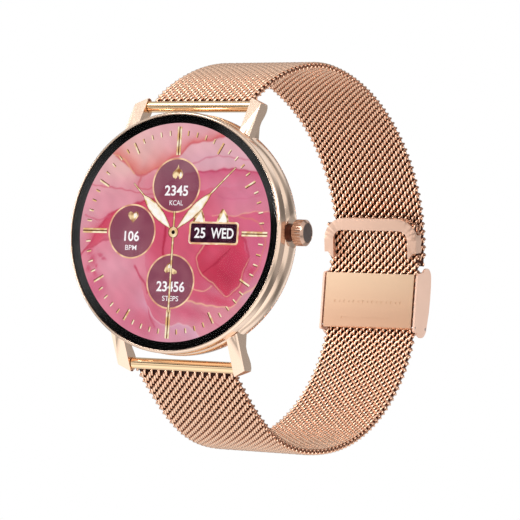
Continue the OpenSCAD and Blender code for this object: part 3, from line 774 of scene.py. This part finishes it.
    # veins: a dark line with a warm thread beside it
    art.wash(top_edge, 0.9, (214, 92, 92), 0.9, 1)
    art.wash(top_edge[:4], 1.8, (218, 128, 116), 0.7, 1)
    for line, width, tint, strength in (
            (top_edge, 0.16, (206, 96, 104), 0.8), (left_vein, 0.13, (204, 98, 116), 0.75),
            ([(2.3, 11.4), (4.7, 12.3), (9, 12.8), (15.5, 12.2)], 0.12, (204, 112, 134), 0.75),
            (strong_edge, 0.17, (190, 62, 96), 0.9), (band_top, 0.17, (190, 52, 84), 0.75),
            (band_low[:3], 0.14, (186, 50, 82), 0.6),
            ([(-17.6, 2.5), (-15.0, 1.9), (-12.5, 2.6)], 0.14, (204, 84, 112), 0.7),
            ([(-1.3, 1.6), (-1.8, -1), (-1.6, -3.6), (-1.5, -5.6), (-0.9, -7.6)], 0.22, DEEP, 0.85),
            ([(-7, -5.8), (-6, -7.6), (-4.9, -8.9), (-4.3, -10.4)], 0.2, (192, 58, 90), 0.8),
            ([(5.9, -6.9), (7.3, -5.8), (9.7, -3.9), (10.8, -2.5)], 0.16, DEEP, 0.8),
            ([(-6.8, 9.2), (-7.6, 8.0), (-6.6, 7.2), (-4.0, 7.8)], 0.13, (206, 92, 106), 0.7),
            ([(8.2, 6.2), (10.6, 5.6), (13.6, 6.0), (16, 6.6)], 0.1, (206, 98, 132), 0.6),
            ([(-4, -12.4), (-3.6, -14.4), (-2.4, -16.2)], 0.15, (196, 74, 104), 0.7),
            ([(6.4, -13), (8.8, -14.6), (10.6, -15.6)], 0.12, (200, 92, 120), 0.6),
            (cell + cell[:1], 0.20, (178, 44, 74), 0.7), (cell[:7], 0.09, GILT, 0.75),
            (right_edge, 0.10, GILT, 0.6),
            ([(12.4, 2.9), (15.6, 2.2), (17.2, 0.4), (17.2, -2.7), (16.4, -5.6), (14.8, -8.4)],
             0.10, THREAD, 0.8),
            ([(3.4, -8.9), (5.2, -9.7), (6.7, -9.4), (8.1, -8.8)], 0.12, GILT, 0.8),
            (contour, 0.13, GILT, 0.85), (low_edge, 0.12, (226, 176, 186), 0.8),
            ([(-8.3, 9.9), (-10.4, 12.0), (-12.4, 12.9)], 0.12, (232, 176, 130), 0.7)):
        art.vein(line, width, tint, strength)
    # drifting cloud of finer ink
    drift = (np.sin(0.9 * art.x + 1.3 * np.sin(0.5 * art.z))
             * np.sin(0.8 * art.z + 1.1 * np.sin(0.6 * art.x + 1))
             + 0.5 * np.sin(2.3 * art.x + 1.7 * art.z + np.sin(1.9 * art.z)))
    art.tint *= 1 + 0.022 * drift[:, None]


def closed_sheet(outline, low, high):
    """A thin plate between two depths from an outline of points (x, z)."""
    count = len(outline)
    points = [(x, low, z) for x, z in outline] + [(x, high, z) for x, z in outline]
    faces = [tuple(range(count)), tuple(range(2 * count - 1, count - 1, -1))]
    faces += [(i, i + count, (i + 1) % count + count, (i + 1) % count) for i in range(count)]
    return points, faces


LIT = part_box("display_panel")[0].y / MM
OPEN_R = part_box("display_panel")[1].x / MM + 0.03
rings, around = 150, 620
radii = np.r_[0.0, np.repeat(OPEN_R * np.arange(1, rings + 1) / rings, around)]
way = np.r_[0.0, np.tile(2 * math.pi * np.arange(around) / around, rings)]
x, z = radii * np.cos(way), radii * np.sin(way)
art = Painter(x, z, (220, 150, 166))
paint_marble(art)
points = [(a, LIT - 0.02, b) for a, b in zip(x, z)]
points += [(a, LIT - 0.005, b) for a, b in zip(x[-around:], z[-around:])]
faces = [(0, 1 + i, 1 + (i + 1) % around) for i in range(around)]
for r in range(rings - 1):
    a, b = 1 + r * around, 1 + (r + 1) * around
    faces += [(a + i, b + i, b + (i + 1) % around, a + (i + 1) % around) for i in range(around)]
a, b = 1 + (rings - 1) * around, 1 + rings * around
faces += [(a + i, b + i, b + (i + 1) % around, a + (i + 1) % around) for i in range(around)]
faces.append(tuple(b + i for i in range(around))[::-1])

marble = Finish("lit_picture")
shade = marble.node("VertexColor", {"layer_name": "ink"})
fleck = marble.noise(5200.0, 3.0)
marble_skin = marble.surface(
    Base_Color=grey(0.0), Roughness=0.6, Specular_IOR_Level=0.0,
    Emission_Color=marble.mix(0.06 * fleck, shade, grey(0.55)), Emission_Strength=1.0)
picture = add_piece("dial_picture", points, faces, marble_skin, "case", "display")
colours = np.vstack([art.tint, art.tint[-around:]]) / 255
linear = np.where(colours <= 0.04045, colours / 12.92, ((colours + 0.055) / 1.055) ** 2.4)
layer = picture.data.color_attributes.new("ink", "FLOAT_COLOR", "POINT")
layer.data.foreach_set("color", np.column_stack([linear, np.ones(len(linear))]).ravel())
print("picture radius", round(OPEN_R, 2), "mm,", len(points), "points")

# %% [markdown]
# ## Counters, hands and marks
#
# Everything drawn over the picture is a thin plate of its own: the three round
# counters, the date window with its two cat ears, the hour bars, the small marks
# and the hands. Gold drawn by a screen goes from cream to brown across each
# stroke, so a fine noise mixes the two.

# %% inks and flat shapes
def ink(name, low, high, fine=900.0, see=1.0):
    """Light of one tint mixed into another. See below 1 lets the picture through."""
    skin = Finish(name)
    blend = skin.noise(fine, 1.0).step(0.35, 0.65)
    light = skin.node("Emission", {}, {"Color": skin.mix(blend, low, high), "Strength": 1.0})
    if see == 1.0:
        return skin.end(light)
    clear = skin.node("BsdfTransparent")
    return skin.end(skin.node("MixShader", {}, {0: see, 1: clear, 2: light}))


gilt_ink = ink("gilt_ink", screen(150, 98, 52), screen(255, 228, 178))
bright_gilt = ink("bright_gilt_ink", screen(226, 180, 122), screen(255, 240, 206))
warm_ring = ink("ring_ink", screen(214, 150, 122), screen(250, 214, 172), 500.0)
brown_line = ink("brown_ink", screen(86, 48, 36), screen(132, 84, 56))
cream = ink("cream_ink", screen(252, 240, 220), screen(255, 252, 246))
white = ink("white_ink", screen(246, 240, 244), screen(255, 255, 255))
plum = ink("plum_ink", screen(48, 20, 34), screen(70, 32, 50))
black_ink = ink("black_ink", screen(20, 12, 12), screen(44, 30, 26))
veil = ink("veil_ink", screen(118, 66, 84), screen(132, 82, 96), 300.0, see=0.62)


LAYER = 0.01
SHEET = 0.006


def drawn(name, level, skin, *outlines):
    """A plate or several, a number of layers in front of the panel."""
    points, faces = [], []
    for outline in outlines:
        area = sum(a[0] * b[1] - b[0] * a[1] for a, b in zip(outline, outline[1:] + outline[:1]))
        loop = outline if area > 0 else outline[::-1]
        more, sheets = closed_sheet(loop, LIT - LAYER * level, LIT - LAYER * level + SHEET)
        faces += [tuple(i + len(points) for i in face) for face in sheets]
        points += more
    return add_piece(name, points, faces, skin, "case", "display", smooth=False)


def oval(x, z, r, steps=72):
    return [(x + r * math.cos(2 * math.pi * i / steps), z + r * math.sin(2 * math.pi * i / steps))
            for i in range(steps)]


def hoop(x, z, r, width, steps=96):
    """A ring cut into four-cornered plates."""
    inner, outer = oval(x, z, r - width / 2, steps), oval(x, z, r + width / 2, steps)
    return [[inner[i], outer[i], outer[(i + 1) % steps], inner[(i + 1) % steps]] for i in range(steps)]


def bar(r0, r1, width, angle, aside=0.0, taper=1.0):
    """A straight stroke from r0 to r1 along a clock angle in degrees."""
    s, c = math.sin(math.radians(angle)), math.cos(math.radians(angle))
    corners = ((aside - width / 2, r0), (aside + width / 2, r0),
               (aside + taper * width / 2, r1), (aside - taper * width / 2, r1))
    return [(a * c + r * s, r * c - a * s) for a, r in corners]


def leaf(r0, r1, width, angle, fat=0.45):
    """A leaf-shaped stroke, fattest part of the way along."""
    s, c = math.sin(math.radians(angle)), math.cos(math.radians(angle))
    edge = []
    for i in range(25):
        t = i / 24
        bend = math.sin(math.pi * t ** (math.log(0.5) / math.log(fat))) ** 0.85
        edge.append((width / 2 * bend, r0 + (r1 - r0) * t))
    edge += [(-a, r) for a, r in edge[-2:0:-1]]
    return [(a * c + r * s, r * c - a * s) for a, r in edge]


def rounded(x, z, width, height, r, steps=6):
    corners = []
    for sx, sz, start in ((1, 1, 0), (-1, 1, 90), (-1, -1, 180), (1, -1, 270)):
        for i in range(steps + 1):
            a = math.radians(start + 90 * i / steps)
            corners.append((x + sx * (width / 2 - r) + r * math.cos(a),
                            z + sz * (height / 2 - r) + r * math.sin(a)))
    return corners


def lettered(name, words, x, z, height, width, level, skin, bold=0.02):
    """Words from the plain built-in letters, centred and stretched to a size."""
    curve = bpy.data.curves.new(name, "FONT")
    curve.body, curve.align_x, curve.align_y = words, "CENTER", "CENTER"
    curve.offset, curve.resolution_u = bold, 4
    holder = bpy.data.objects.new(name, curve)
    bpy.context.scene.collection.objects.link(holder)
    bpy.context.view_layer.update()
    mesh = bpy.data.meshes.new_from_object(holder)
    corners = np.array([v.co[:] for v in mesh.vertices])
    faces = [tuple(p.vertices) for p in mesh.polygons]
    bpy.data.objects.remove(holder)
    bpy.data.meshes.remove(mesh)
    low, high = corners.min(axis=0), corners.max(axis=0)
    middle, size = (low + high) / 2, high - low
    flat_points = np.column_stack([
        x + (corners[:, 0] - middle[0]) * width / size[0],
        np.full(len(corners), LIT - LAYER * level),
        z + (corners[:, 1] - middle[1]) * height / size[1]])
    return add_piece(name, flat_points, faces, skin, "case", "display", smooth=False)


# %% [markdown]
# Each counter is a see-through veil in a ring, with a small icon above its number.

# %% counters with their icons
COUNTERS = {"top": (0.0, 7.9), "left": (-8.1, 0.0), "low": (0.0, -8.25)}
for name, (x, z) in COUNTERS.items():
    drawn(name + "_counter_veil", 3, veil, oval(x, z, 4.5))
    drawn(name + "_counter_ring", 4, warm_ring, *hoop(x, z, 4.5, 0.27))

flame = [(0.1, 1.3), (0.25, 0.7), (0.5, 0.35), (0.62, 0.55), (0.95, 0.0), (1.05, -0.45), (0.85, -0.95),
         (0.4, -1.2), (0.3, -0.85), (0.08, -0.5), (-0.12, -0.9), (-0.3, -1.15), (-0.8, -0.9),
         (-1.0, -0.4), (-0.85, 0.0), (-0.4, 0.45), (-0.1, 0.8)]
heart = [(0, -1.0), (0.65, -0.35), (1.0, 0.15), (0.98, 0.6), (0.65, 0.9), (0.25, 0.82), (0, 0.5),
         (-0.25, 0.82), (-0.65, 0.9), (-0.98, 0.6), (-1.0, 0.15), (-0.65, -0.35)]
shoe = [(-1.15, 0.1), (-0.75, 0.75), (-0.3, 1.0), (-0.05, 0.35), (0.35, 0.0), (1.05, -0.3), (1.2, -0.75),
        (0.5, -0.95), (-0.3, -0.55), (-1.0, -0.75), (-1.3, -0.35)]


def placed(outline, x, z, size=1.0):
    return [(x + size * a, z + size * b) for a, b in outline]


drawn("flame_icon", 5, gilt_ink, placed(flame, 0.1, 10.1))
drawn("heart_icon", 5, gilt_ink, placed(heart, -8.0, 2.45))
drawn("shoe_icon", 5, gilt_ink, placed(shoe, 0.0, -6.1))
drawn("heart_facet", 6, cream, placed([(0.1, 0.5), (0.55, 0.7), (0.8, 0.3), (0.2, -0.3)], -8.0, 2.45))
drawn("flame_core", 6, cream, placed([(0.6, 0.1), (0.85, -0.4), (0.65, -0.9), (0.38, -0.5)], 0.1, 10.1))
drawn("shoe_sole", 6, cream, placed([(-0.6, 0.5), (-0.3, 0.8), (-0.1, 0.2), (-0.5, 0.05)], 0.0, -6.1))
for words, x, z, height, width in (("2345", 0.1, 7.0, 1.75, 4.5), ("106", -8.05, -0.8, 1.75, 2.9),
                                   ("23456", 0.1, -9.1, 1.75, 5.4)):
    lettered("count_" + words, words, x, z, height, width, 6, white, 0.022)
for words, x, z, width in (("KCAL", 0.2, 4.95, 2.6), ("BPM", -8.1, -2.75, 2.2), ("STEPS", 0.2, -11.1, 3.1)):
    lettered("unit_" + words.lower(), words, x, z, 0.85, width, 6, white, 0.004)

# %% [markdown]
# The date window is three rounded plates on top of each other.

# %% date window with ears
drawn("date_frame", 4, bright_gilt, rounded(7.7, 0, 9.4, 3.8, 0.55))
drawn("date_frame_line", 5, warm_ring, rounded(7.7, 0, 9.1, 3.5, 0.45))
drawn("date_window", 6, plum, rounded(7.7, 0, 8.75, 3.15, 0.3))
lettered("date_number", "25", 5.1, 0.0, 1.75, 2.1, 7, white, 0.02)
lettered("date_day", "WED", 9.35, 0.0, 1.75, 4.3, 7, white, 0.02)
for x, lean in ((4.75, 0.15), (9.25, -0.1)):
    drawn("ear_edge_%d" % x, 5, gilt_ink, [(x - 1.15, 1.85), (x - 0.75, 3.05), (x + lean - 0.1, 4.05),
                                            (x + lean + 0.25, 4.0), (x + 0.95, 2.95), (x + 1.2, 1.85)])
    drawn("ear_inside_%d" % x, 6, cream, [(x - 0.8, 1.87), (x - 0.2, 2.8), (x + lean + 0.2, 3.5),
                                           (x + 0.65, 2.7), (x + 0.85, 1.87)])

# %% [markdown]
# Double bars stand at the quarters, longer marks at the hours, short ones between.

# %% bars and marks
for clock in (0, 90, 180, 270):
    drawn("bar_shadow_%d" % clock, 4, brown_line, bar(13.0, 17.8, 0.86, clock))
    drawn("bar_gold_%d" % clock, 5, bright_gilt, bar(13.0, 17.8, 0.30, clock, -0.26),
          bar(13.0, 17.8, 0.30, clock, 0.26))
minutes = [6 * k for k in range(60) if k % 5]
hours = [30 * k for k in range(12) if k % 3]
drawn("minute_marks", 4, bright_gilt, *[bar(16.3, 17.15, 0.26, a, -0.06) for a in minutes])
drawn("minute_edges", 5, brown_line, *[bar(16.3, 17.15, 0.13, a, 0.10) for a in minutes])
drawn("hour_marks", 4, bright_gilt, *[bar(15.2, 17.3, 0.34, a, -0.07) for a in hours])
drawn("hour_edges", 5, brown_line, *[bar(15.2, 17.3, 0.16, a, 0.13) for a in hours])

# %% [markdown]
# Each hand is a brown edge, a gold plate and a cream face, one layer apart.

# %% hands
HOUR_WAY = math.degrees(math.atan2(-8.2, 8.1))
MINUTE_WAY = math.degrees(math.atan2(11.2, 11.0))
for name, way, tip, leaf_end, width, level in (("hour", HOUR_WAY, 11.6, 8.6, 2.0, 7),
                                               ("minute", MINUTE_WAY, 15.7, 9.4, 1.8, 7)):
    drawn(name + "_hand_edge", level, brown_line, leaf(0.6, leaf_end + 0.3, width, way, 0.55),
          bar(leaf_end - 1.2, tip, 0.44, way, 0.0, 0.6))
    drawn(name + "_hand_gold", level + 1, bright_gilt, leaf(0.8, leaf_end + 0.1, width - 0.22, way, 0.55),
          bar(leaf_end - 1.2, tip - 0.1, 0.24, way, 0.0, 0.6))
    drawn(name + "_hand_face", level + 2, cream, leaf(1.3, leaf_end - 0.5, width - 0.55, way, 0.55))
drawn("second_hand_edge", 9, brown_line, bar(-3.5, 13.4, 0.44, 180.0))
drawn("second_hand_gold", 10, bright_gilt, bar(-3.5, 13.4, 0.26, 180.0))
drawn("hub_edge", 10, brown_line, oval(0, 0, 0.98, 32))
drawn("hub_gold", 11, bright_gilt, oval(0, 0, 0.86, 32))
drawn("hub_dot", 11.6, black_ink, oval(0, 0, 0.34, 24))


# %% [markdown]
# ## Finish
#
# The last cell prints the size of the imported shape's box.

# %% size note and finish
print("packed box:", [round(v / MM, 2) for v in cad_high - cad_low])
